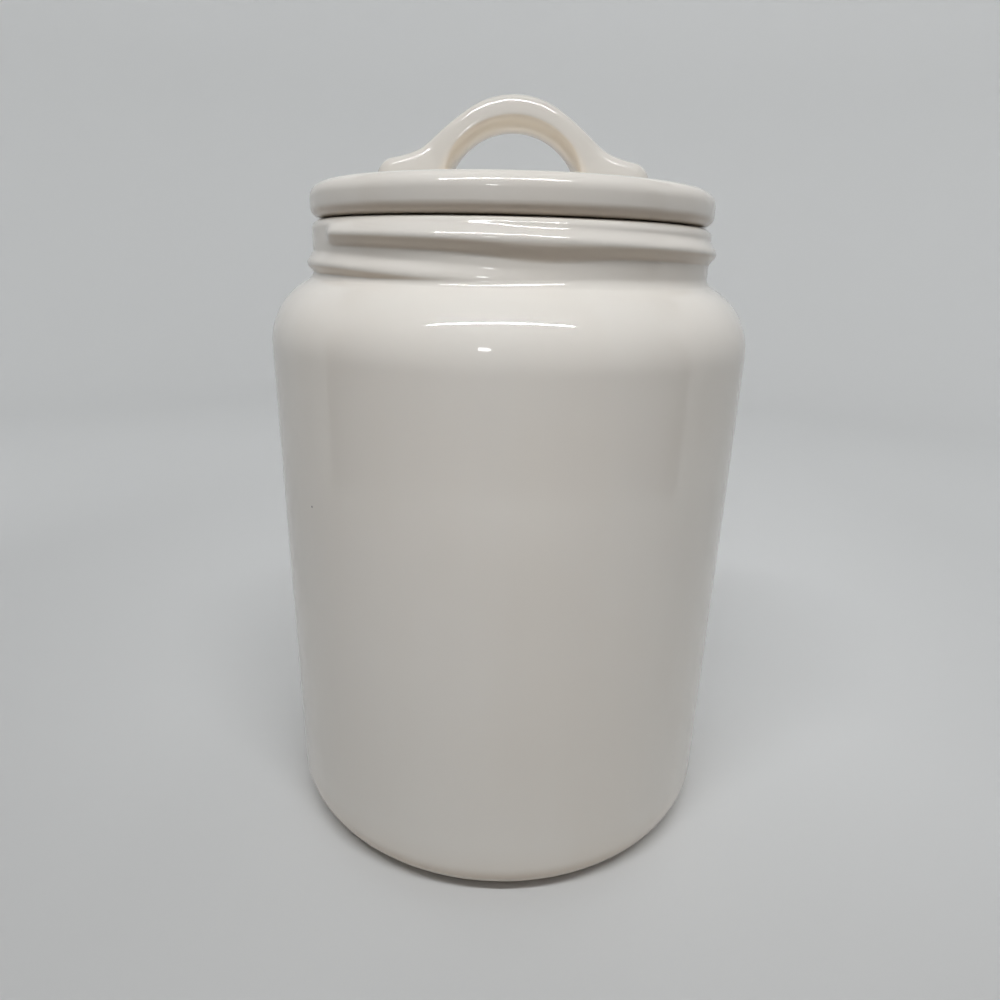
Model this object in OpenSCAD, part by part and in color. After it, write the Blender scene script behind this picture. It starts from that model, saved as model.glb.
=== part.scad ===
// Glazed stoneware canister shaped like a screw-top jar, with a lift-off lid.
// The origin is the middle of the table under the jar, +Z is up and +X runs along the lid's handle.
// Outlines of the turned pieces are drawn as [radius, height]; lengths are in millimetres.

/* [Jar] */
// Outside diameter of the jar at its widest, just under the shoulder
jar_d = 140; // [125:1:170]
// Height of the jar from the table to the top of its rim
jar_h = 182.4; // [150:0.2:230]
// Thickness of the side wall
wall = 6; // [4:0.5:9]
// Thickness of the floor
floor_t = 7; // [5:0.5:12]
// Angle at which the wall narrows towards the base
draft_angle = 0.35; // [0:0.05:1.5]
// Radius of the outside edge between wall and base
base_round = 12; // [6:0.5:20]
// Radius of the inside corner between wall and floor
floor_round = 8; // [3:0.5:16]
// Radius of the shoulder
shoulder_round = 20; // [14:0.5:28]
// How far the neck is set in from the side of the jar
shoulder_w = 12.7; // [6:0.1:18]
// Width of the flat ring that the jar stands on
foot_w = 7; // [4:0.5:12]
// Depth of the hollow inside that ring
foot_recess = 1.5; // [0.5:0.1:3]

/* [Neck] */
// Height of the neck, from the shoulder to the rim
neck_h = 14.8; // [12:0.2:30]
// Thickness of the neck's wall
neck_wall = 6.8; // [6.2:0.1:9]
// Radius of the rim's outside edge
rim_round = 2.4; // [1:0.1:4]
// Radius of the rim's inside edge
mouth_round = 1; // [0.5:0.25:1.5]
// Radius of the hollow where the neck meets the shoulder
neck_fillet = 3; // [1:0.25:5]

/* [Thread ridge] */
// How far the ridge stands out from the neck
thread_h = 1.75; // [0.8:0.05:3]
// Height of the ridge's upper flank
thread_up = 3.4; // [2:0.1:3.8]
// Height of the ridge's lower flank
thread_down = 3.2; // [1.5:0.1:3.8]
// Extra height of the lower flank where it sags
sag = 1.7; // [0:0.1:2]
// Angle of the sag round the neck, from the front
sag_at = 7; // [-20:1:30]
// Angle from the middle of the sag to where it fades
sag_half = 14; // [6:1:20]
// Softness of the ridge's crest, as a share of a flank
crest_soft = 0.8; // [0.1:0.05:1]
// How hollow the upper flank is, where 1 is straight
upper_hollow = 1.75; // [1:0.05:2]
// How hollow the lower flank is
lower_hollow = 1.75; // [1:0.05:2]
// Drop of the ridge in one turn
thread_pitch = 7.7; // [7:0.1:12]
// Depth of the crest below the rim at the upper end
thread_depth = 3.8; // [3.2:0.1:6]
// Angle of the upper end round the neck, from the front
thread_start = -56; // [-180:1:180]
// Angle that the ridge runs through
thread_sweep = 447; // [120:1:480]
// Angle over which the upper end rises out of the neck
run_in = 7; // [4:1:30]
// Angle over which the lower end sinks into the shoulder
run_out = 80; // [20:1:110]
// Extra drop of the lower end
end_drop = 1.8; // [1:0.1:4]
// Angle over which it drops
drop_sweep = 79; // [40:1:110]

/* [Seal] */
// Thickness of the flange between the rim and the lid
seal_t = 0.3; // [0.3:0.1:2]
// How far the flange reaches out over the rim
flange_reach = 1.8; // [1.8:0.1:2.6]
// Thickness of the band round the lid's plug
band_t = 2; // [1.2:0.1:4]
// Height of the seal
seal_h = 11; // [8:0.5:16]
// Number of sealing fins
fins = 2; // [1:1:3]
// How far a fin stands out from the band
fin_reach = 1.7; // [1:0.1:3]
// Thickness of a fin
fin_t = 1; // [0.6:0.1:1.4]

/* [Lid] */
// How far the lid's edge reaches past the neck
lid_overhang = 0.2; // [-1:0.1:4]
// Thickness of the lid at its edge
lid_t = 9.2; // [8:0.1:14]
// Radius of the lid's top edge
lid_top_round = 4; // [1:0.25:5]
// Radius of the lid's bottom edge
lid_low_round = 3; // [0.5:0.1:3.5]
// Thickness of the lid inside the plug
plate_t = 6.4; // [5:0.1:7]
// Thickness of the plug's wall
plug_wall = 5.5; // [4:0.5:9]
// Height of the lip that keeps the seal on the plug
lip_h = 3; // [2:0.5:6]
// How far the lip stands out past the groove
lip_reach = 1; // [0.5:0.1:1.5]

/* [Handle] */
// Height of the handle above the lid
handle_h = 24.2; // [20:0.1:30]
// Thickness of the strap at its top
strap_t = 8.5; // [6:0.1:10]
// Width of the strap
strap_w = 21.5; // [14:0.5:28]
// Radius of the finger gap
arch_r = 19.75; // [18:0.25:22]
// Radius of the strap's top line over the gap
crest_r = 23.7; // [20:0.1:28]
// How square the strap's section is above, where 2 is an ellipse
top_square = 5; // [2:0.1:6]
// How square the section is below, over the finger gap
low_square = 2.1; // [2:0.1:6]
// Share by which the strap narrows from its widest line to its top
top_lean = 0.12; // [0:0.01:0.25]
// Slope of the strap's flanks
flank_angle = 34; // [30:1:40]
// Slope of the top of the feet
foot_angle = 12; // [5:1:25]
// Length of the pull that keeps the flank straight
flank_pull = 16; // [8:0.5:18]
// Length of the pull that keeps the foot straight
foot_pull = 11; // [4:0.5:13]
// Thickness of the feet just before the toe
foot_h = 8; // [6:0.1:10]
// Distance from the middle of the lid to the toe
foot_reach = 39.5; // [38:0.5:44]
// Length over which the toe rounds down to the lid
toe_round = 6; // [2:0.5:8]
// Length over which the toe narrows to its tip
toe_taper = 10; // [6:0.5:12]

/* [Fits] */
// Gap between a sealing fin and the mouth
fin_gap = 0.3; // [0.1:0.05:0.6]
// Gap between the seal and the plug, which lets the lid turn
plug_gap = 0.05; // [0.02:0.01:0.1]

/* [Hidden] */
$fn = 96;
// Overrun of a cut past the face that it opens
cut = 1;
// Angle between the points of a round, between the sections of the ridge, and between the points of the strap
arc_step = 5;
ridge_step = 6;
strap_step = 15;

// Jar
jar_r = jar_d / 2;
neck_r = jar_r - shoulder_w;
mouth_r = neck_r - neck_wall;
shoulder_r = jar_r - shoulder_round;
shoulder_reach = max(0, neck_r - shoulder_r);
shoulder_z = jar_h - neck_h - sqrt(pow(shoulder_round, 2) - pow(shoulder_reach, 2));
// Direction square to the wall, and the wall's distance from the axis measured along it
wall_out = [cos(draft_angle), -sin(draft_angle)];
wall_line = wall_out * [shoulder_r, shoulder_z] + shoulder_round;
// Outer radius of the flat ring under the base, and of the flat floor inside
base_r = touch_r(wall_line, base_round, base_round);
floor_r = touch_r(wall_line - wall, floor_round, floor_t + floor_round);
// Middle of the hollow between neck and shoulder, and the angle at which it meets the shoulder
fillet_r = neck_r + neck_fillet;
fillet_reach = max(0, fillet_r - shoulder_r);
fillet_angle = acos(fillet_reach / (shoulder_round + neck_fillet));
fillet_z = shoulder_z + (shoulder_round + neck_fillet) * sin(fillet_angle);
// Inside of the shoulder
inner_round = shoulder_round - wall;
mouth_reach = max(0, mouth_r - shoulder_r);

// Seal, from the mouth inwards
fin_r = mouth_r - fin_gap;
band_r = fin_r - fin_reach;
band_in_r = band_r - band_t;
fin_step = (seal_h - seal_t) / fins;
// Share of a step at which its fin sits
fin_share = 0.7;

// Lid, from the seal inwards
lid_z = jar_h + seal_t;
lid_top = lid_z + lid_t;
lid_r = neck_r + lid_overhang;
groove_r = band_in_r - plug_gap;
groove_h = seal_h + plug_gap;
lip_r = groove_r + lip_reach;
plug_in_r = groove_r - plug_wall;
plug_h = groove_h + lip_h;

// Handle, drawn as [along, up] from the middle of the lid's top
arch_mid = [0, handle_h - strap_t - arch_r];
arch_foot_angle = acos(-arch_mid[1] / arch_r);
arch_foot_x = arch_r * sin(arch_foot_angle);
toe_mid = foot_reach - toe_round;
crest_mid = [0, handle_h - crest_r];
flank_top = crest_mid + crest_r * [sin(flank_angle), cos(flank_angle)];
foot_top = [toe_mid, foot_h];
flank_aim = flank_top + flank_pull * [cos(flank_angle), -sin(flank_angle)];
foot_aim = foot_top + foot_pull * [-cos(foot_angle), sin(foot_angle)];
// Share of the foot's stretch in which the underside is still the arch
arch_share = 0.4;
// Share of the toe that is kept, so that it ends in a small flat
toe_share = 0.92;
// Share of the section's height below its widest line, over the gap and on the feet
gap_share = 0.38;
foot_share = 0.3;
// How square the section is below on the feet, which stand on the lid
foot_square = 8;

// Radius at which a round of the given size and height touches a wall line
function touch_r(line, radius, z) = (line - radius - z * wall_out[1]) / wall_out[0];
// Points of a round, from one angle to another
function arc(mid, radius, from, to) =
    let(steps = ceil(abs(to - from) / arc_step))
    [for (i = [0:steps]) let(a = from + (to - from) * i / steps) mid + radius * [cos(a), sin(a)]];
// Curve through two ends with two pulling points
function bend(a, b, c, d, t) =
    pow(1 - t, 3) * a + 3 * t * pow(1 - t, 2) * b + 3 * t * t * (1 - t) * c + pow(t, 3) * d;
// Step that eases in and out between 0 and 1
function ease(t) = let(s = min(1, max(0, t))) s * s * (3 - 2 * s);
// Faces of a tube through rings of equal size, closed at both ends
function tube_faces(rings, size) = concat(
    [[for (j = [0:size - 1]) j]],
    [[for (j = [size - 1:-1:0]) (rings - 1) * size + j]],
    [for (i = [0:rings - 2], j = [0:size - 1])
        [i * size + j, (i + 1) * size + j, i * size + (j + 1) % size]],
    [for (i = [0:rings - 2], j = [0:size - 1])
        [i * size + (j + 1) % size, (i + 1) * size + j, (i + 1) * size + (j + 1) % size]]
);

// Waste cut off to round an outside corner at the origin
module corner_waste(radius) {
    difference() {
        translate([-radius, -radius]) square(radius + cut);
        translate([-radius, -radius]) circle(r = radius);
    }
}

// Half section of the jar without its ridge: under the foot, up the outside, over the rim and down the inside
module jar_section() {
    shoulder_mid = [shoulder_r, shoulder_z];
    polygon(concat(
        [[0, foot_recess], [base_r - foot_w, foot_recess], [base_r - foot_w, 0]],
        arc([base_r, base_round], base_round, -90, -draft_angle),
        arc(shoulder_mid, shoulder_round, -draft_angle, fillet_angle),
        arc([fillet_r, fillet_z], neck_fillet, 180 + fillet_angle, 180),
        arc([neck_r - rim_round, jar_h - rim_round], rim_round, 0, 90),
        arc([mouth_r + mouth_round, jar_h - mouth_round], mouth_round, 90, 180),
        [[mouth_r, shoulder_z + sqrt(pow(inner_round, 2) - pow(mouth_reach, 2))]],
        arc(shoulder_mid, inner_round, acos(mouth_reach / inner_round), -draft_angle),
        arc([floor_r, floor_t + floor_round], floor_round, -draft_angle, -90),
        [[0, floor_t]]
    ));
}

// Radius of the neck's surface at a height, with the rim's rounded edge
function neck_surface(z) =
    let(above = max(0, z - jar_h + rim_round))
    neck_r - rim_round + sqrt(pow(rim_round, 2) - pow(above, 2));

// Share of the ridge's height at a place across it, from 0 on its crest to 1 or -1 at the foot of a flank
function ridge_share(f) =
    let(away = (norm([f, crest_soft]) - crest_soft) / (norm([1, crest_soft]) - crest_soft))
    pow(max(0, 1 - away), f > 0 ? upper_hollow : lower_hollow);

// Ridge wound once round the neck: a soft crest between two hollow flanks, sunk into the clay at both ends
module thread_ridge() {
    steps = ceil(thread_sweep / ridge_step);
    // Depth of the ridge's edges, of its ends and of its hidden back inside the neck
    edge_sink = 0.3;
    end_sink = 0.8;
    back_sink = 2.5;
    // Extra depth of the back behind the rim's round, and height that the ridge leaves free below the rim
    back_lean = rim_round / 2;
    rim_free = rim_round / 3;
    flank_steps = 4;
    flank = [for (i = [flank_steps:-1:-flank_steps]) i / flank_steps];
    rings = [for (i = [0:steps])
        let(
            along = thread_sweep * i / steps,
            left = thread_sweep - along,
            angle = thread_start + along - 90,
            dropped = sin(90 * max(0, 1 - left / drop_sweep)),
            fall = thread_depth + thread_pitch * along / 360 + end_drop * dropped,
            up = min(thread_up, fall - rim_free),
            down = thread_down + sag * exp(-pow((thread_start + along - sag_at) / sag_half, 2)),
            grown = min(ease(along / run_in), ease(left / run_out)),
            outline = concat(
                [[neck_r - back_sink - back_lean, up]],
                [for (f = flank)
                    let(
                        rise = f * (f > 0 ? up : down),
                        bump = grown * (thread_h + edge_sink) * ridge_share(f)
                    )
                    [neck_surface(jar_h - fall + rise) - edge_sink - end_sink * (1 - grown) + bump, rise]],
                [[neck_r - back_sink, -down]]
            )
        )
        [for (p = outline) [p[0] * cos(angle), p[0] * sin(angle), jar_h - fall + p[1]]]
    ];
    polyhedron(
        points = [for (ring = rings) each ring],
        faces = tube_faces(len(rings), len(flank) + 2)
    );
}

// Slip-cast jar with its foot ring and the raised ridge round its neck
module jar() {
    color("ivory")
    union() {
        rotate_extrude() jar_section();
        thread_ridge();
    }
}

// Soft ring round the lid's plug: flange on the rim, band in the groove, fins against the mouth
module seal_ring() {
    color("gainsboro")
    rotate_extrude() {
        translate([band_in_r, lid_z - seal_h]) square([band_t, seal_h]);
        translate([band_in_r, jar_h]) square([mouth_r + flange_reach - band_in_r, seal_t]);
        for (i = [0:fins - 1]) {
            translate([band_in_r, jar_h - fin_step * (i + fin_share) - fin_t / 2])
                square([fin_r - band_in_r, fin_t]);
        }
    }
}

// Disc lid with rounded edges, and the hollow plug that carries the seal in its groove
module lid() {
    color("ivory")
    rotate_extrude()
    difference() {
        union() {
            translate([0, lid_z]) square([lid_r, lid_t]);
            translate([0, lid_z - plug_h]) square([groove_r, plug_h + lid_t / 2]);
            translate([0, lid_z - plug_h]) square([lip_r, lip_h]);
        }
        translate([0, lid_z - plug_h - cut]) square([plug_in_r, plug_h + lid_t - plate_t + cut]);
        translate([lid_r, lid_top]) corner_waste(lid_top_round);
        translate([lid_r, lid_z]) mirror([0, 1]) corner_waste(lid_low_round);
    }
}

// Point on the top of the strap: 0 to 1 over the arch, 1 to 2 down the flank and foot, 2 to 3 round the toe
function strap_top(s) =
    s <= 1 ? crest_mid + crest_r * [sin(flank_angle * s), cos(flank_angle * s)]
    : s <= 2 ? bend(flank_top, flank_aim, foot_aim, foot_top, s - 1)
    : [toe_mid + toe_round * sin(90 * (s - 2)), foot_h * cos(90 * (s - 2))];

// Point on the underside below it: along the arch, then along the lid
function strap_low(s) =
    s <= 1 ? arch_mid + arch_r * [sin(flank_angle * s), cos(flank_angle * s)]
    : s <= 1 + arch_share ?
        let(a = flank_angle + (arch_foot_angle - flank_angle) * (s - 1) / arch_share)
        arch_mid + arch_r * [sin(a), cos(a)]
    : s <= 2 ? [arch_foot_x + (toe_mid - arch_foot_x) * (s - 1 - arch_share) / (1 - arch_share), 0]
    : [toe_mid + toe_round * sin(90 * (s - 2)), 0];

// Distance of a rounded outline's point from its middle, for the sine or cosine of the point's angle
function squared(share, square) = sign(share) * pow(abs(share), 2 / square);

// Section of the strap as [across, up]: leaning sides above, rounder below until it stands on the lid
function strap_outline(width, height, stood) =
    let(
        low = height * (gap_share + (foot_share - gap_share) * stood),
        square = low_square + (foot_square - low_square) * stood
    )
    [for (a = [-90:strap_step:270 - strap_step])
        let(
            below = sin(a) < 0,
            n = below ? square : top_square,
            rise = squared(sin(a), n),
            lean = 1 - top_lean * max(0, rise)
        )
        [width / 2 * squared(cos(a), n) * lean, low + (below ? low : height - low) * rise]];

// Section of the strap at a place along it, to the left or right of the middle
function strap_ring(s, side) =
    let(
        low = strap_low(s),
        rise = strap_top(s) - low,
        height = norm(rise),
        up = rise / height,
        reach = max(0, strap_top(s)[0] - foot_reach + toe_taper) / toe_taper,
        width = strap_w * sqrt(1 - pow(reach, 3)),
        outline = strap_outline(width, height, ease(2 * (s - 1) / arch_share - 1))
    )
    [for (p = outline)
        [side * (low[0] + up[0] * p[1]), p[0], lid_top + low[1] + up[1] * p[1]]];

// Strap handle arched over a finger gap, with tongue-shaped feet joined to the lid
module lid_handle() {
    steps = 8;
    places = concat([for (i = [1:2 * steps]) i / steps], [for (i = [1:steps]) 2 + toe_share * i / steps]);
    last = len(places) - 1;
    rings = concat(
        [for (i = [last:-1:0]) strap_ring(places[i], -1)],
        [strap_ring(0, 1)],
        [for (i = [0:last]) strap_ring(places[i], 1)]
    );
    color("linen")
    polyhedron(
        points = [for (ring = rings) each ring],
        faces = tube_faces(len(rings), len(rings[0]))
    );
}

jar();
seal_ring();
lid();
lid_handle();
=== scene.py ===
import math

import bmesh
import bpy
from mathutils import Matrix, Vector


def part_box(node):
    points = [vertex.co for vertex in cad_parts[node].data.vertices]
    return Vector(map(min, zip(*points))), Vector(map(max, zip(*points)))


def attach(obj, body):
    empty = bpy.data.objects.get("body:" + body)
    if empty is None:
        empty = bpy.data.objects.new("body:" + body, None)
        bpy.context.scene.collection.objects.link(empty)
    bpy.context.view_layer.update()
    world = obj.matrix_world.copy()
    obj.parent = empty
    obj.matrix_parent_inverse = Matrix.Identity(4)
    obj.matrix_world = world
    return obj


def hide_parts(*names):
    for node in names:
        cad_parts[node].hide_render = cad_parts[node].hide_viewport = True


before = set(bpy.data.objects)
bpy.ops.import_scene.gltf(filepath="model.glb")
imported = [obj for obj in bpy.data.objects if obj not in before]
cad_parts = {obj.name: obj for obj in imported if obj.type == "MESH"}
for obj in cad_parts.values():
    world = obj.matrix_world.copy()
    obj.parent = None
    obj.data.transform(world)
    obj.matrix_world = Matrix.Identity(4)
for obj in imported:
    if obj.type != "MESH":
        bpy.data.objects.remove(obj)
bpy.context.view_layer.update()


# Jar
# One slip-cast stoneware piece: foot ring, straight body, round shoulder, and a neck with a raised ridge.
# It is dipped in ivory glaze inside and out, and only the ring that it was fired on is left bare.

PER_METRE = 1000  # outlines are drawn in millimetres
TURN_STEPS = 288


def line_to(bm, pen, radius, height):
    """Draws a turned piece's outline on to a new point."""
    pen = bmesh.ops.extrude_vert_indiv(bm, verts=[pen])["verts"][0]
    pen.co = (radius, 0, height)
    return pen


def arc_round(bm, pen, middle, degrees, steps=8):
    """Draws the outline on round a middle point; a positive angle goes from outwards to upwards."""
    drawn = bmesh.ops.spin(
        bm, geom=[pen], cent=(middle[0], 0, middle[1]), axis=(0, -1, 0),
        angle=math.radians(degrees), steps=steps,
    )
    return next(v for v in drawn["geom_last"] if isinstance(v, bmesh.types.BMVert))


def turn_outline(bm):
    """Spins the drawn outline round the vertical axis, as on a wheel, and closes it on the axis."""
    bmesh.ops.spin(
        bm, geom=bm.verts[:] + bm.edges[:], cent=(0, 0, 0), axis=(0, 0, 1),
        angle=math.tau, steps=TURN_STEPS, use_merge=True,
    )
    bmesh.ops.remove_doubles(bm, verts=bm.verts, dist=1e-4)


def make_piece(name, bm, material, node, body):
    """Turns a drawn mesh into a finished piece in metres that stands for a CAD node."""
    bmesh.ops.scale(bm, vec=Vector((1, 1, 1)) / PER_METRE, verts=bm.verts)
    bmesh.ops.recalc_face_normals(bm, faces=bm.faces)
    for face in bm.faces:
        face.smooth = True
    mesh = bpy.data.meshes.new(name)
    bm.to_mesh(mesh)
    bm.free()
    mesh.materials.append(material)
    piece = bpy.data.objects.new(name, mesh)
    bpy.context.scene.collection.objects.link(piece)
    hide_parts(node)
    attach(piece, body)
    return piece


def ease(t):
    """Step that eases in and out between 0 and 1."""
    t = min(1, max(0, t))
    return t * t * (3 - 2 * t)


def add_node(tree, kind, settings=None, **inputs):
    """Adds a shader node with its settings, and its inputs set or linked by name."""
    node = tree.nodes.new(kind)
    for name, value in (settings or {}).items():
        setattr(node, name, value)
    for name, value in inputs.items():
        socket = node.inputs[int(name[1:])] if name[0] == "_" else node.inputs[name.replace("_", " ")]
        if isinstance(value, bpy.types.NodeSocket):
            tree.links.new(value, socket)
        else:
            socket.default_value = value
    return node


def math_node(tree, operation, *values):
    """Adds a maths node on numbers or outputs, and gives its output."""
    inputs = {f"_{i}": value for i, value in enumerate(values)}
    return add_node(tree, "ShaderNodeMath", {"operation": operation}, **inputs).outputs[0]


def ramp_between(tree, value, start, end):
    """Gives 0 where the value is at start and 1 where it is at end, eased between."""
    node = add_node(tree, "ShaderNodeMapRange", {"interpolation_type": "SMOOTHSTEP"}, Value=value)
    node.inputs["From Min"].default_value = start
    node.inputs["From Max"].default_value = end
    return node.outputs["Result"]


def mix_colours(tree, factor, first, second):
    """Mixes two colours and gives the result."""
    node = add_node(tree, "ShaderNodeMix", {"data_type": "RGBA"})
    sockets = node.inputs["Factor"], node.inputs[6], node.inputs[7]
    for socket, value in zip(sockets, (factor, first, second)):
        if isinstance(value, bpy.types.NodeSocket):
            tree.links.new(value, socket)
        else:
            socket.default_value = value
    return node.outputs[2]


TONE_SHARE = 0.09  # how far clouds and runs thin the glaze
UNDERSIDE_SHADE_SHARE = 0.8  # how far a face that looks down is painted towards the thin glaze colour, as painted shade and warm bounce light


def make_glaze_group():
    """Fired glaze: cloudy tone with faint runs, painted shade that turns faces that look down warmer, and
    soft ripples.
    """
    tree = bpy.data.node_groups.new("fired_glaze_and_painted_shade", "ShaderNodeTree")
    # The thin glaze colour and its share also carry painted shade and painted bounce light.
    for way, name, kind in (
        ("INPUT", "Glaze", "Color"), ("INPUT", "Thin Glaze", "Color"), ("INPUT", "Thin", "Float"),
        ("OUTPUT", "Color", "Color"), ("OUTPUT", "Roughness", "Float"), ("OUTPUT", "Height", "Float"),
    ):
        tree.interface.new_socket(name, in_out=way, socket_type=f"NodeSocket{kind}")
    given = tree.nodes.new("NodeGroupInput").outputs
    surface = tree.nodes.new("ShaderNodeTexCoord").outputs
    place = surface["Object"]

    # Cloudy tone over a hand's width, and runs that are long up and down
    cloud = add_node(tree, "ShaderNodeTexNoise", Vector=place, Scale=16.0, Detail=3.0).outputs[0]
    stretch = add_node(tree, "ShaderNodeMapping", Vector=place, Scale=(1, 1, 0.18)).outputs[0]
    runs = add_node(tree, "ShaderNodeTexNoise", Vector=stretch, Scale=42.0, Detail=2.0).outputs[0]
    clouded, streaked = ramp_between(tree, cloud, 0.35, 0.7), ramp_between(tree, runs, 0.4, 0.7)
    tone = math_node(tree, "ADD", clouded, streaked)
    thin = math_node(tree, "MULTIPLY_ADD", tone, TONE_SHARE, given["Thin"])

    # Painted shade and warm bounce light: faces that look down are painted towards the thin glaze colour
    facing_up = add_node(tree, "ShaderNodeSeparateXYZ", Vector=surface["Normal"]).outputs["Z"]
    painted_underside_shade = ramp_between(tree, facing_up, -0.02, -0.5)
    thin = math_node(tree, "MULTIPLY_ADD", painted_underside_shade, UNDERSIDE_SHADE_SHARE, thin)
    colour = mix_colours(tree, thin, given["Glaze"], given["Thin Glaze"])

    # Ripples of the molten glaze, and its polish
    ripple = add_node(tree, "ShaderNodeTexNoise", Vector=place, Scale=55.0, Detail=1.5).outputs[0]
    polish = math_node(tree, "MULTIPLY_ADD", cloud, 0.03, 0.03)

    made = tree.nodes.new("NodeGroupOutput").inputs
    for name, value in (("Color", colour), ("Roughness", polish), ("Height", ripple)):
        tree.links.new(value, made[name])
    return tree


glaze_group = make_glaze_group()
GLAZE_IOR = 1.52
RIPPLE_DEPTH = 0.00004  # metres
IVORY = (0.80, 0.768, 0.715, 1)
# Colour of glaze thinned towards the foot and the lid's edge, also used as painted shade on faces that
# look down
THIN_AND_SHADED_IVORY = (0.70, 0.61, 0.51, 1)
PINHOLES = ((-50.8, -47.9, 110.1), (39.6, 57.3, 84.0), (-63.5, 27.2, 61.5))  # places on the jar's wall
PINHOLE_R = 0.25
PIT = (0.08, 0.07, 0.06, 1)
CLAY, PALE_CLAY = (0.50, 0.41, 0.32, 1), (0.66, 0.57, 0.47, 1)
CLAY_ROUGHNESS = 0.75  # above the glaze's own
THICK_Z, THIN_Z, FOOT_THIN = 0.020, 0.002, 0.45  # the glaze thins between these heights, by this share


def start_glaze(name, glaze, thin_glaze):
    """Starts a glazed material; gives it, its tree, shader and glaze node, and the place on the piece."""
    material = bpy.data.materials.new(name)
    material.use_nodes = True
    tree = material.node_tree
    shader = tree.nodes["Principled BSDF"]
    layer = add_node(
        tree, "ShaderNodeGroup", {"node_tree": glaze_group}, Glaze=glaze, Thin_Glaze=thin_glaze
    )
    place = tree.nodes.new("ShaderNodeTexCoord").outputs["Object"]
    bump = add_node(tree, "ShaderNodeBump", Distance=RIPPLE_DEPTH, Height=layer.outputs["Height"])
    tree.links.new(layer.outputs["Color"], shader.inputs["Base Color"])
    tree.links.new(layer.outputs["Roughness"], shader.inputs["Roughness"])
    tree.links.new(bump.outputs["Normal"], shader.inputs["Normal"])
    shader.inputs["IOR"].default_value = GLAZE_IOR
    return material, tree, shader, layer, place


def height_on(tree, place):
    """Gives the height of a place on the piece."""
    return add_node(tree, "ShaderNodeSeparateXYZ", Vector=place).outputs["Z"]


def vector_node(tree, operation, first, second, output="Vector"):
    """Adds a vector maths node and gives the wanted output."""
    node = add_node(tree, "ShaderNodeVectorMath", {"operation": operation}, _0=first, _1=second)
    return node.outputs[output]


def leave_bare(tree, shader, layer, place, glazed_z, bare_z, ragged):
    """Leaves grainy clay bare below a ragged glaze line, from the height where the glaze starts to go."""
    grain = add_node(tree, "ShaderNodeTexNoise", Vector=place, Scale=900.0, Detail=3.0).outputs[0]
    edge = math_node(tree, "MULTIPLY_ADD", grain, ragged, height_on(tree, place))
    bare = ramp_between(tree, edge, glazed_z, bare_z)
    clay = mix_colours(tree, grain, CLAY, PALE_CLAY)
    rough = math_node(tree, "MULTIPLY_ADD", bare, CLAY_ROUGHNESS, layer.outputs["Roughness"])
    tree.links.new(rough, shader.inputs["Roughness"])
    return mix_colours(tree, bare, layer.outputs["Color"], clay)


def jar_material():
    """Ivory glaze, thin and warm towards the bare clay foot, with a few pinholes in the wall."""
    material, tree, shader, layer, place = start_glaze("jar_glaze", IVORY, THIN_AND_SHADED_IVORY)
    low = ramp_between(tree, height_on(tree, place), THICK_Z, THIN_Z)
    tree.links.new(math_node(tree, "MULTIPLY", low, FOOT_THIN), layer.inputs["Thin"])
    colour = leave_bare(tree, shader, layer, place, glazed_z=0.0019, bare_z=0.0014, ragged=0.0008)
    hole_r = PINHOLE_R / PER_METRE
    for hole in PINHOLES:
        away = vector_node(tree, "DISTANCE", place, Vector(hole) / PER_METRE, "Value")
        pit = ramp_between(tree, away, 1.6 * hole_r, 0.6 * hole_r)
        colour = mix_colours(tree, pit, colour, PIT)
    tree.links.new(colour, shader.inputs["Base Color"])
    return material


jar_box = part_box("jar")
jar_r = jar_box[1].x * PER_METRE
jar_h = jar_box[1].z * PER_METRE
wall = 6
floor_t = 7
draft = 0.35  # degrees that the wall leans in towards the base
base_round, floor_round = 12, 8
shoulder_round, shoulder_w = 20, 12.7
foot_w, foot_recess, foot_edge = 7, 1.5, 0.5
neck_h, neck_wall, neck_fillet = 14.8, 6.8, 3
rim_round, mouth_round = 2.4, 1

neck_r = jar_r - shoulder_w
mouth_r = neck_r - neck_wall
shoulder_r = jar_r - shoulder_round
shoulder_z = jar_h - neck_h - math.sqrt(shoulder_round**2 - (neck_r - shoulder_r) ** 2)
fillet_r = neck_r + neck_fillet
fillet_turn = math.degrees(math.acos((fillet_r - shoulder_r) / (shoulder_round + neck_fillet)))
fillet_z = shoulder_z + (shoulder_round + neck_fillet) * math.sin(math.radians(fillet_turn))
lean = math.radians(draft)
across_wall = Vector((math.cos(lean), -math.sin(lean)))
wall_line = math.cos(lean) * shoulder_r - math.sin(lean) * shoulder_z + shoulder_round
base_r = (wall_line - base_round + base_round * math.sin(lean)) / math.cos(lean)
floor_mid_z = floor_t + floor_round
floor_r = (wall_line - wall - floor_round + floor_mid_z * math.sin(lean)) / math.cos(lean)
inner_round = shoulder_round - wall
inner_turn = math.degrees(math.acos(max(0, mouth_r - shoulder_r) / inner_round))

# Ridge, as angles round the neck from the front and depths below the rim
ridge_h, ridge_up, ridge_down = 1.75, 3.4, 3.2
ridge_depth, ridge_pitch = 3.8, 7.7
ridge_start, ridge_sweep = -56, 447
run_in, run_out = 7, 80
end_drop, drop_sweep = 1.8, 79
crest_soft, upper_hollow, lower_hollow = 0.8, 1.75, 1.75
sag, sag_at, sag_w = 1.7, 7, 14  # the lower flank hangs lower near the front
pool_w = 2.5  # glaze that pools where ridge or neck meets the shoulder


def ridge_share(off):
    """Share of the ridge's height at a place across it: 1 on its soft crest, 0 at either foot."""
    away = (math.hypot(off, crest_soft) - crest_soft) / (math.hypot(1, crest_soft) - crest_soft)
    return max(0, 1 - away) ** (upper_hollow if off > 0 else lower_hollow)


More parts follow.
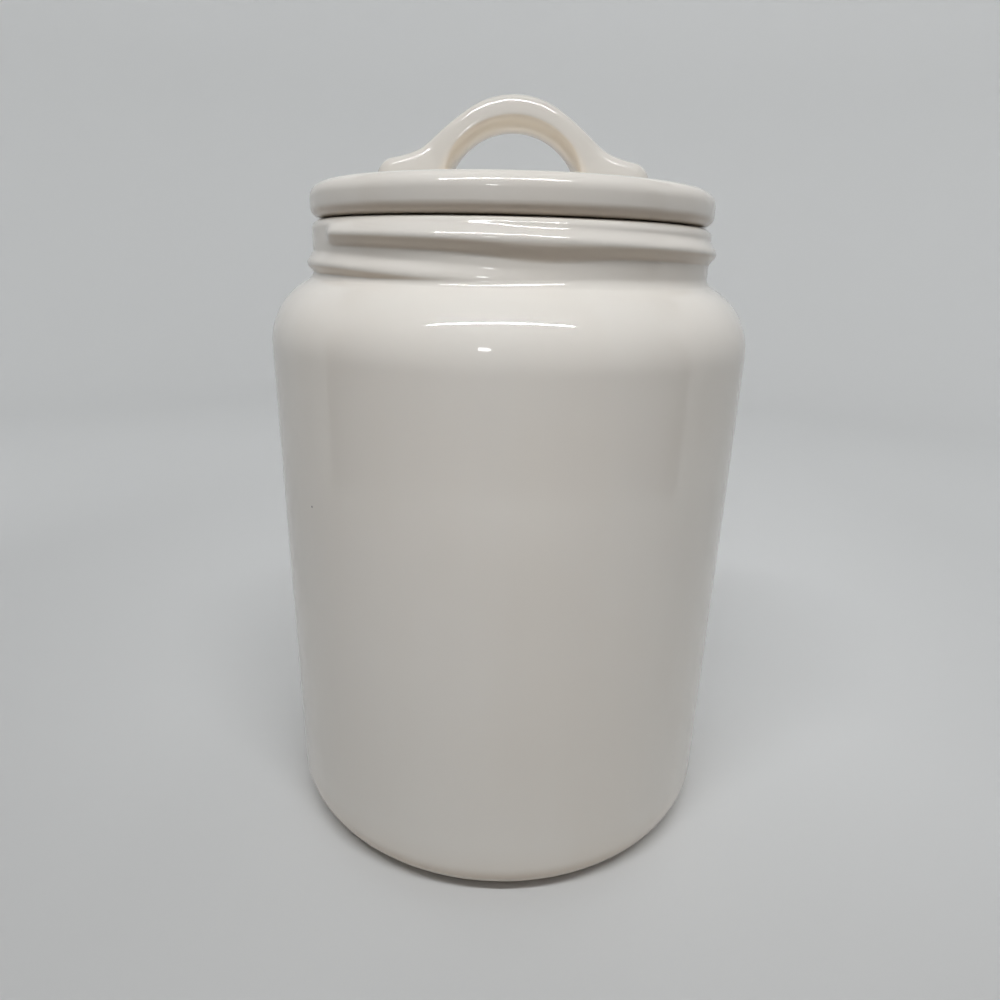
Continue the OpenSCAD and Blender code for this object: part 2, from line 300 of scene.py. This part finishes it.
def ridge_rise(angle, z):
    """How far the ridge stands out at an angle and height; windings that overlap run together."""
    rise = 0
    for along in (angle - ridge_start, angle - ridge_start + 360):
        left = ridge_sweep - along
        dropped = math.sin(math.pi / 2 * max(0, 1 - left / drop_sweep))
        fall = ridge_depth + ridge_pitch * along / 360 + end_drop * dropped
        up = min(ridge_up, fall - rim_round / 3)
        down = ridge_down + sag * math.exp(-(((along + ridge_start - sag_at) / sag_w) ** 2))
        off = (z - (jar_h - fall)) / (up if z > jar_h - fall else down)
        grown = min(ease(along / run_in), ease(left / run_out))
        rise = math.hypot(rise, grown * ridge_h * ridge_share(off))
    return rise


def neck_reach(angle, z, radius):
    """Radius of the neck with its ridge, which runs into the shoulder in a hollow softened by glaze."""
    ridge = min(radius, neck_r) + ridge_rise(angle, z)
    pool = max(1e-6, pool_w * ease((fillet_z - z) / neck_fillet))
    return max(ridge, radius) + max(0, pool - abs(ridge - radius)) ** 2 / (4 * pool)


bm = bmesh.new()
pen = bm.verts.new((0, 0, foot_recess))
pen = line_to(bm, pen, base_r - foot_w - foot_edge, foot_recess)
pen = line_to(bm, pen, base_r - foot_w, foot_edge)
pen = line_to(bm, pen, base_r - foot_w + foot_edge, 0)
pen = line_to(bm, pen, base_r, 0)
pen = arc_round(bm, pen, (base_r, base_round), 90 - draft, 16)
wall_top = Vector((shoulder_r, shoulder_z)) + shoulder_round * across_wall
pen = line_to(bm, pen, *wall_top)
pen = arc_round(bm, pen, (shoulder_r, shoulder_z), fillet_turn + draft, 24)
pen = arc_round(bm, pen, (fillet_r, fillet_z), -fillet_turn, 10)
neck_foot = pen
pen = line_to(bm, pen, neck_r, jar_h - rim_round)
neck_line = bm.edges.get((neck_foot, pen))
pen = arc_round(bm, pen, (neck_r - rim_round, jar_h - rim_round), 90, 16)
pen = line_to(bm, pen, mouth_r + mouth_round, jar_h)
pen = arc_round(bm, pen, (mouth_r + mouth_round, jar_h - mouth_round), 90, 5)
pen = line_to(bm, pen, mouth_r, shoulder_z + inner_round * math.sin(math.radians(inner_turn)))
pen = arc_round(bm, pen, (shoulder_r, shoulder_z), -inner_turn - draft, 14)
inner_foot = Vector((floor_r, floor_mid_z)) + floor_round * across_wall
pen = line_to(bm, pen, *inner_foot)
pen = arc_round(bm, pen, (floor_r, floor_mid_z), -90 + draft, 10)
pen = line_to(bm, pen, 0, floor_t)
bmesh.ops.subdivide_edges(bm, edges=[neck_line], cuts=34)
turn_outline(bm)
for vert in bm.verts:
    radius = vert.co.xy.length
    if vert.co.z > fillet_z - 2 * neck_fillet and radius > mouth_r + mouth_round:
        angle = math.degrees(math.atan2(vert.co.x, -vert.co.y))
        angle += 360 if angle < ridge_start else 0
        vert.co.xy *= neck_reach(angle, vert.co.z, radius) / radius
make_piece("jar_body", bm, jar_material(), "jar", "jar")


# Seal ring
# Moulded translucent silicone, stretched into the groove of the lid's plug. Its flange lies between rim
# and lid, and two thin fins press against the mouth.

seal_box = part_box("seal_ring")
seal_low = seal_box[0].z * PER_METRE
seal_top = seal_box[1].z * PER_METRE
flange_r = seal_box[1].x * PER_METRE
seal_t = seal_top - jar_h
fin_gap, fin_reach, band_t = 0.3, 1.7, 2
fins, fin_t, fin_share = 2, 1, 0.7
fin_r = mouth_r - fin_gap
band_r = fin_r - fin_reach
band_in_r = band_r - band_t
fin_step = (seal_top - seal_low - seal_t) / fins
MILKY, DUSTY = (0.70, 0.69, 0.66, 1), (0.60, 0.58, 0.54, 1)


def seal_material():
    """Satin silicone: milky, a little dusty, with fine streaks round it from the mould."""
    material = bpy.data.materials.new("seal_silicone")
    material.use_nodes = True
    tree = material.node_tree
    shader = tree.nodes["Principled BSDF"]
    place = tree.nodes.new("ShaderNodeTexCoord").outputs["Object"]
    cloud = add_node(tree, "ShaderNodeTexNoise", Vector=place, Scale=60.0, Detail=4.0).outputs[0]
    stretch = add_node(tree, "ShaderNodeMapping", Vector=place, Scale=(1, 1, 14)).outputs[0]
    streak = add_node(tree, "ShaderNodeTexNoise", Vector=stretch, Scale=140.0, Detail=2.0).outputs[0]
    colour = mix_colours(tree, ramp_between(tree, cloud, 0.4, 0.7), MILKY, DUSTY)
    tree.links.new(colour, shader.inputs["Base Color"])
    tree.links.new(math_node(tree, "MULTIPLY_ADD", streak, 0.2, 0.32), shader.inputs["Roughness"])
    bump = add_node(tree, "ShaderNodeBump", Distance=0.00003, Height=streak)
    tree.links.new(bump.outputs["Normal"], shader.inputs["Normal"])
    shader.inputs["IOR"].default_value = 1.41
    shader.inputs["Subsurface Weight"].default_value = 0.35
    shader.inputs["Subsurface Radius"].default_value = (1.0, 0.9, 0.75)
    shader.inputs["Subsurface Scale"].default_value = 0.0015
    return material


bm = bmesh.new()
start = pen = bm.verts.new((band_in_r, 0, seal_low))
pen = line_to(bm, pen, band_r, seal_low)
for i in reversed(range(fins)):
    fin_z = jar_h - fin_step * (i + fin_share) - fin_t / 2
    pen = line_to(bm, pen, band_r, fin_z)
    pen = line_to(bm, pen, fin_r - fin_t / 2, fin_z)
    pen = arc_round(bm, pen, (fin_r - fin_t / 2, fin_z + fin_t / 2), 180, 8)
    pen = line_to(bm, pen, band_r, fin_z + fin_t)
pen = line_to(bm, pen, band_r, jar_h)
pen = line_to(bm, pen, flange_r - seal_t / 2, jar_h)
pen = arc_round(bm, pen, (flange_r - seal_t / 2, jar_h + seal_t / 2), 180, 8)
pen = line_to(bm, pen, band_in_r, seal_top)
bm.edges.new((pen, start))
turn_outline(bm)
make_piece("silicone_seal", bm, seal_material(), "seal_ring", "seal")


# Lid
# A slip-cast disc with soft edges, and under it a hollow plug with a groove for the seal. It is glazed
# all over except the plug's lower edge, on which it stood in the kiln.

lid_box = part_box("lid")
lid_r = lid_box[1].x * PER_METRE
lid_top = lid_box[1].z * PER_METRE
plug_low = lid_box[0].z * PER_METRE
lid_z = seal_top
lid_top_round, lid_low_round = 4, 3
plate_t, plug_wall, plug_gap = 6.4, 5.5, 0.05
lip_h, lip_reach, lip_round = 3, 1, 0.8
groove_r = band_in_r - plug_gap
lip_r = groove_r + lip_reach
plug_in_r = groove_r - plug_wall
plug_round = 3
plate_z = lid_top - plate_t
edge_h, edge_thin = 2.4, 0.35  # the glaze thins by this share down the disc's lower edge
bare_h = 0.4


def lid_material():
    """Ivory glaze, thin along the disc's lower edge, with a bare ring under the plug."""
    material, tree, shader, layer, place = start_glaze("lid_glaze", IVORY, THIN_AND_SHADED_IVORY)
    low = ramp_between(tree, height_on(tree, place), (lid_z + edge_h) / PER_METRE, lid_z / PER_METRE)
    tree.links.new(math_node(tree, "MULTIPLY", low, edge_thin), layer.inputs["Thin"])
    bare_z = (plug_low + bare_h) / PER_METRE
    colour = leave_bare(tree, shader, layer, place, glazed_z=bare_z + 0.0004, bare_z=bare_z, ragged=0.0006)
    tree.links.new(colour, shader.inputs["Base Color"])
    return material


bm = bmesh.new()
pen = bm.verts.new((0, 0, plate_z))
pen = line_to(bm, pen, plug_in_r - plug_round, plate_z)
pen = arc_round(bm, pen, (plug_in_r - plug_round, plate_z - plug_round), -90, 8)
pen = line_to(bm, pen, plug_in_r, plug_low + lip_round)
pen = arc_round(bm, pen, (plug_in_r + lip_round, plug_low + lip_round), 90, 6)
pen = line_to(bm, pen, lip_r - lip_round, plug_low)
pen = arc_round(bm, pen, (lip_r - lip_round, plug_low + lip_round), 90, 6)
pen = line_to(bm, pen, lip_r, plug_low + lip_h)
pen = line_to(bm, pen, groove_r, plug_low + lip_h)
pen = line_to(bm, pen, groove_r, lid_z)
pen = line_to(bm, pen, lid_r - lid_low_round, lid_z)
pen = arc_round(bm, pen, (lid_r - lid_low_round, lid_z + lid_low_round), 90, 8)
pen = line_to(bm, pen, lid_r, lid_top - lid_top_round)
pen = arc_round(bm, pen, (lid_r - lid_top_round, lid_top - lid_top_round), 90, 14)
pen = line_to(bm, pen, 0, lid_top)
turn_outline(bm)
make_piece("lid_disc", bm, lid_material(), "lid", "lid")


# Handle
# A strap of clay bent into an arch, pressed down at both ends into tongue-shaped feet and luted to the lid
# before firing. Its glaze colour is painted darker as painted shade, and lighter and warmer under the arch
# as painted bounce light.

handle_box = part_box("lid_handle")
foot_reach = handle_box[1].x * PER_METRE
strap_w = (handle_box[1].y - handle_box[0].y) * PER_METRE
handle_h = handle_box[1].z * PER_METRE - lid_top
strap_t, arch_r, crest_r = 8.5, 19.75, 23.7
flank, flank_pull = math.radians(34), 16
foot_slope, foot_pull, foot_h = math.radians(12), 11, 8
toe_round, toe_taper, toe_least = 6, 10, 0.02
arch_share, toe_share = 0.4, 0.97
gap_share, foot_share = 0.38, 0.3
top_square, low_square, foot_square = 5, 2.1, 8
top_lean = 0.12  # share by which the strap narrows towards its top
arch_mid = Vector((0, handle_h - strap_t - arch_r))
crest_mid = Vector((0, handle_h - crest_r))
arch_foot = math.acos(-arch_mid.y / arch_r)
toe_mid = foot_reach - toe_round
SECTION_POINTS = 32


def on_round(middle, radius, angle):
    """Point at an angle from the top of a round, as [along, up]."""
    return middle + radius * Vector((math.sin(angle), math.cos(angle)))


def strap_top(s):
    """Point on the strap's top: 0 to 1 over the arch, to 2 down flank and foot, to 3 round the toe."""
    if s <= 1:
        return on_round(crest_mid, crest_r, flank * s)
    if s <= 2:
        t = s - 1
        a, d = on_round(crest_mid, crest_r, flank), Vector((toe_mid, foot_h))
        b = a + flank_pull * Vector((math.cos(flank), -math.sin(flank)))
        c = d + foot_pull * Vector((-math.cos(foot_slope), math.sin(foot_slope)))
        return (1 - t) ** 3 * a + 3 * t * (1 - t) ** 2 * b + 3 * t * t * (1 - t) * c + t**3 * d
    bow = math.pi / 2 * (s - 2)
    return Vector((toe_mid + toe_round * math.sin(bow), foot_h * math.cos(bow)))


def strap_low(s):
    """Point on the underside below it: along the arch, then along the lid."""
    if s <= 1:
        return on_round(arch_mid, arch_r, flank * s)
    if s <= 1 + arch_share:
        return on_round(arch_mid, arch_r, flank + (arch_foot - flank) * (s - 1) / arch_share)
    foot_x = arch_r * math.sin(arch_foot)
    if s <= 2:
        return Vector((foot_x + (toe_mid - foot_x) * (s - 1 - arch_share) / (1 - arch_share), 0))
    return Vector((toe_mid + toe_round * math.sin(math.pi / 2 * (s - 2)), 0))


def squared(share, square):
    """Moves a point of a round bar out towards a square section; 2 leaves it round."""
    return math.copysign(abs(share) ** (2 / square), share)


def strap_point(x, y, s):
    """Place on the strap of a point on a straight round bar, pressed square and bent over the lid."""
    side, s = math.copysign(1, s), abs(s)
    low, top = strap_low(s), strap_top(s)
    stood = ease(2 * (s - 1) / arch_share - 1)
    under = gap_share + (foot_share - gap_share) * stood
    square = low_square + (foot_square - low_square) * stood if y < 0 else top_square
    taper = max(0, top.x - foot_reach + toe_taper) / toe_taper
    width = strap_w * math.sqrt(max(toe_least, 1 - taper**3))
    rise = squared(y, square)
    at = low.lerp(top, under + (under if y < 0 else 1 - under) * rise)
    across = width / 2 * squared(x, square) * (1 - top_lean * max(0, rise))
    return Vector((side * at.x, across, lid_top + at.y))


# The handle's glaze is the lid's, painted darker here as painted shade on its front face
HANDLE_SHADED_IVORY = (0.73, 0.70, 0.652, 1)
HANDLE_UNDER_BOUNCE_LIT = (0.88, 0.795, 0.68, 1)
PAINTED_BOUNCE_FROM, PAINTED_BOUNCE_TO, PAINTED_BOUNCE_SHARE = 3.6, 0.4, 0.8  # depths into the strap from the arch's underside, over which painted bounce light fades in


def handle_material():
    """Ivory glaze painted darker as shade, and lighter and warmer under the arch as painted bounce light.
    """
    material, tree, shader, layer, place = start_glaze("handle_glaze", HANDLE_SHADED_IVORY, HANDLE_UNDER_BOUNCE_LIT)
    middle = (0, 0, (lid_top + arch_mid.y) / PER_METRE)
    level = vector_node(tree, "MULTIPLY", place, (1, 0, 1))
    from_mid = vector_node(tree, "DISTANCE", level, middle, "Value")
    # Painted bounce light: the colour turns lighter and warmer towards the arch's underside
    under = ramp_between(tree, from_mid, (arch_r + PAINTED_BOUNCE_FROM) / PER_METRE, (arch_r + PAINTED_BOUNCE_TO) / PER_METRE)
    tree.links.new(math_node(tree, "MULTIPLY", under, PAINTED_BOUNCE_SHARE), layer.inputs["Thin"])
    return material


ARCH_STEPS, TOE_STEPS = 10, 8
half = [i / ARCH_STEPS for i in range(1, 2 * ARCH_STEPS + 1)]
half += [2 + toe_share * i / TOE_STEPS for i in range(1, TOE_STEPS + 1)]
places = [-s for s in reversed(half)] + [0] + half
bm = bmesh.new()
bmesh.ops.create_circle(bm, cap_ends=True, radius=1, segments=SECTION_POINTS)
bmesh.ops.translate(bm, vec=(0, 0, places[0]), verts=bm.verts)
edges = bm.edges[:]
for last, s in zip(places, places[1:]):
    drawn = bmesh.ops.extrude_edge_only(bm, edges=edges)["geom"]
    ring = [g for g in drawn if isinstance(g, bmesh.types.BMVert)]
    bmesh.ops.translate(bm, vec=(0, 0, s - last), verts=ring)
    edges = [g for g in drawn if isinstance(g, bmesh.types.BMEdge)]
bmesh.ops.contextual_create(bm, geom=edges)
for vert in bm.verts:
    vert.co = strap_point(*vert.co)
handle = make_piece("strap_handle", bm, handle_material(), "lid_handle", "lid")
smooth = handle.modifiers.new("soft_clay", "SUBSURF")
smooth.levels = smooth.render_levels = 2


# Studio
# A pale seamless floor that rises softly all round, a long narrow lamp high in front, whose reflection
# draws the thin lines on the glaze, and a dark panel behind the camera that keeps the front in half shade.

FLOOR_R, SWEEP_R, WALL_TOP = 0.75, 0.45, 1.1


def add_stage(name, bm, colour, roughness):
    """Turns a drawn mesh into a plain piece of the studio."""
    bmesh.ops.recalc_face_normals(bm, faces=bm.faces)
    for face in bm.faces:
        face.smooth = True
    mesh = bpy.data.meshes.new(name)
    bm.to_mesh(mesh)
    bm.free()
    stuff = bpy.data.materials.new(name)
    stuff.use_nodes = True
    shader = stuff.node_tree.nodes["Principled BSDF"]
    shader.inputs["Base Color"].default_value = colour
    shader.inputs["Roughness"].default_value = roughness
    mesh.materials.append(stuff)
    piece = bpy.data.objects.new(name, mesh)
    bpy.context.scene.collection.objects.link(piece)
    return piece


bm = bmesh.new()
pen = line_to(bm, bm.verts.new((0, 0, 0)), FLOOR_R, 0)
pen = arc_round(bm, pen, (FLOOR_R, SWEEP_R), 90, 24)
line_to(bm, pen, FLOOR_R + SWEEP_R, WALL_TOP)
turn_outline(bm)
add_stage("floor", bm, (0.635, 0.64, 0.638, 1), 0.75)

PANEL_R, PANEL_FOOT, PANEL_H, PANEL_SOFT_H = 0.42, 0.002, 0.6, 0.45
PANEL_TURN = math.radians(165)
bm = bmesh.new()
line_to(bm, bm.verts.new((PANEL_R, 0, PANEL_FOOT)), PANEL_R, PANEL_H)
bmesh.ops.rotate(bm, matrix=Matrix.Rotation(-math.pi / 2 - PANEL_TURN / 2, 3, "Z"), verts=bm.verts)
bmesh.ops.spin(bm, geom=bm.verts[:] + bm.edges[:], axis=(0, 0, 1), angle=PANEL_TURN, steps=48)
panel = add_stage("dark_panel", bm, (0.06, 0.032, 0.018, 1), 0.9)
panel.visible_camera = False

# Lamplight slips past the panel's foot, so that its shadow has no hard edge
tree = panel.data.materials[0].node_tree
place = tree.nodes.new("ShaderNodeTexCoord").outputs["Object"]
clear = math_node(tree, "SUBTRACT", ramp_between(tree, height_on(tree, place), 0, PANEL_SOFT_H), 1)
lamplight = tree.nodes.new("ShaderNodeLightPath").outputs["Is Shadow Ray"]
solid = math_node(tree, "MULTIPLY_ADD", lamplight, clear, 1)
tree.links.new(solid, tree.nodes["Principled BSDF"].inputs["Alpha"])


def add_lamp(name, place, aim, size, power, roll=0):
    """Adds a flat lamp that faces a point, rolled by an angle about its own axis."""
    data = bpy.data.lights.new(name, "AREA")
    data.shape = "RECTANGLE"
    data.size, data.size_y = size
    data.energy = power
    lamp = bpy.data.objects.new(name, data)
    bpy.context.scene.collection.objects.link(lamp)
    lamp.location = place
    facing = (Vector(aim) - Vector(place)).to_track_quat("-Z", "Y").to_matrix()
    lamp.rotation_euler = (facing @ Matrix.Rotation(math.radians(roll), 3, "Z")).to_euler()
    lamp.visible_camera = False
    return lamp


SHOULDER = (0, -0.065, 0.16)
long_lamp = add_lamp("long_lamp", (-0.08, -0.68, 1.36), SHOULDER, (1.41, 0.025), 16.2, roll=8)
long_lamp.data.color = (0.965, 0.983, 1.0)
add_lamp("small_lamp", (-0.07, -0.394, 0.316), SHOULDER, (0.036, 0.03), 0.05)
fill = add_lamp("fill", (0.13, -0.33, 0.4), SHOULDER, (0.4, 0.12), 0.14)
fill.visible_glossy = False
body_fill = add_lamp("body_fill", (-0.02, -0.37, 0.37), (-0.01, -0.07, 0.108), (0.08, 0.04), 0.0052)
body_fill.data.spread = math.radians(26)
body_fill.visible_glossy = False
overhead = add_lamp("overhead", (0, 0.1, 1.9), (0, 0, 0.1), (2.0, 2.0), 0.4)
overhead.visible_glossy = False
WALL_LAMP_PLACE, WALL_LAMP_AIM = Vector((0, 0.3, 1.3)), Vector((0, 1.2, 0.45))
for name, turn, power in (("back", 0, 3.9), ("left", 90, 0.5), ("right", -90, 1.6)):
    spin = Matrix.Rotation(math.radians(turn), 3, "Z")
    lamp = add_lamp(f"{name}_wall_lamp", spin @ WALL_LAMP_PLACE, spin @ WALL_LAMP_AIM, (1.2, 0.25), power)
    lamp.visible_glossy = False

world = bpy.data.worlds.new("room")
world.use_nodes = True
world.node_tree.nodes["Background"].inputs["Color"].default_value = (0.95, 0.98, 1.0, 1)
world.node_tree.nodes["Background"].inputs["Strength"].default_value = 0.03
bpy.context.scene.world = world
bpy.context.scene.view_settings.view_transform = "Standard"


# Camera
# A phone's wide lens, held close in front of the jar a little above its shoulder.

CAMERA_PLACE = (0, -0.2245, 0.1727)
PITCH, ROLL, YAW = math.radians(18.554), math.radians(1.420), math.radians(-0.361)
PHOTO_SIDE, FOCAL_PIXELS = 1000, 710

ahead = Vector((math.sin(YAW) * math.cos(PITCH), math.cos(YAW) * math.cos(PITCH), -math.sin(PITCH)))
right = Vector((math.cos(YAW), -math.sin(YAW), 0))
up = right.cross(ahead)
rolled_right = math.cos(ROLL) * right + math.sin(ROLL) * up
rolled_up = math.cos(ROLL) * up - math.sin(ROLL) * right
camera_data = bpy.data.cameras.new("camera")
camera_data.sensor_width = 36
camera_data.lens = camera_data.sensor_width * FOCAL_PIXELS / PHOTO_SIDE
camera_data.clip_start = 0.005
camera = bpy.data.objects.new("camera", camera_data)
bpy.context.scene.collection.objects.link(camera)
facing = Matrix((rolled_right, rolled_up, -ahead)).transposed().to_4x4()
facing.translation = CAMERA_PLACE
camera.matrix_world = facing
bpy.context.scene.camera = camera
